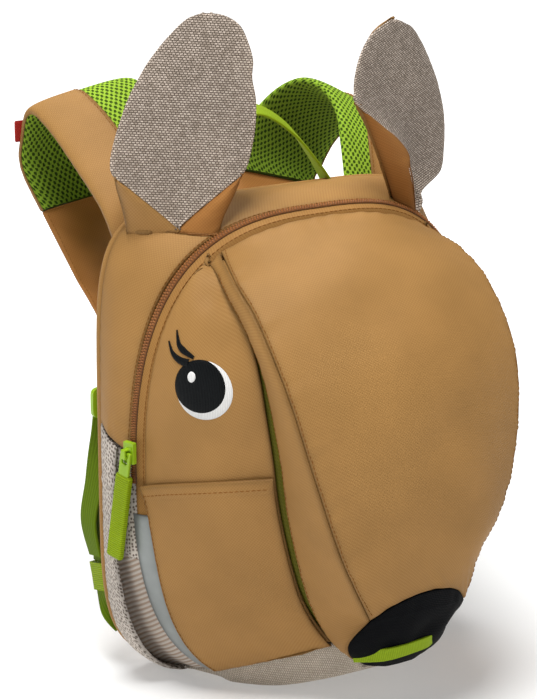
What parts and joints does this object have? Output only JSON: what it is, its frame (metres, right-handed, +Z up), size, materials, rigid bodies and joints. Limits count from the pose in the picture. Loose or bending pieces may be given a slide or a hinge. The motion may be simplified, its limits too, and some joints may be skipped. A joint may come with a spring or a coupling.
{
  "type": "kids backpack",
  "caption": "Small child's backpack shaped as an animal's head, with upright ears, a raised snout with a pocket, slip pockets, padded shoulder straps and a zip with a hinged pull.",
  "frame": {"origin": "on the flat underside of the base, midway between the sides", "axes": "+Z up; the snout points along -Y and the back panel faces +Y; +X is the right side seen from the front"},
  "size_m": [0.2369, 0.2664, 0.3672],
  "materials": {
    "caramel": "matte caramel canvas",
    "taupe": "coarse taupe basket weave",
    "knit": "open taupe knit",
    "reflective": "grey reflective tape",
    "zip": "brown nylon coil",
    "mesh": "green spacer mesh",
    "webbing": "green ribbed webbing",
    "moulded": "green moulded plastic",
    "lining": "plain green lining",
    "black": "black woven cloth",
    "red": "plain red ribbon"
  },
  "bodies": {
    "bag": {"back_panel": "caramel", "base_panel": "taupe", "cheek_left": "caramel", "cheek_right": "caramel", "ear_back_left": "caramel", "ear_back_right": "caramel", "ear_face_left": "taupe", "ear_face_right": "taupe", "ear_fold_left": "caramel", "ear_fold_right": "caramel", "face_left": "caramel", "face_right": "caramel", "grab_loop": "webbing", "gusset": "caramel", "ladder_lock_left": "moulded", "ladder_lock_right": "moulded", "nose": "black", "nose_loop": "webbing", "reflective_left": "reflective", "reflective_right": "reflective", "side_pocket_left": "knit", "side_pocket_right": "knit", "side_rib_left": "taupe", "side_rib_right": "taupe", "snout_lining": "lining", "snout_side_left": "caramel", "snout_side_right": "caramel", "snout_top": "caramel", "strap_cover_left": "caramel", "strap_cover_right": "caramel", "strap_flag": "red", "strap_mesh_left": "mesh", "strap_mesh_right": "mesh", "strap_tail_left": "caramel", "strap_tail_right": "caramel", "strap_web_left": "webbing", "strap_web_right": "webbing", "web_anchor_left": "webbing", "web_anchor_right": "webbing", "web_keeper_left": "moulded", "web_keeper_right": "moulded", "zip_coil": "zip", "zip_slider": "moulded", "zip_tape": "caramel"},
    "pull": {"zip_pull": "moulded", "zip_tab": "webbing"}
  },
  "joints": [
    {"name": "pull_hinge", "type": "hinge", "parent": "bag", "child": "pull", "pos_m": [-0.11603, 0.00923, 0.14053], "axis": [-0.2556, 0.954, 0.1564], "range_deg": [0, 110]}
  ]
}
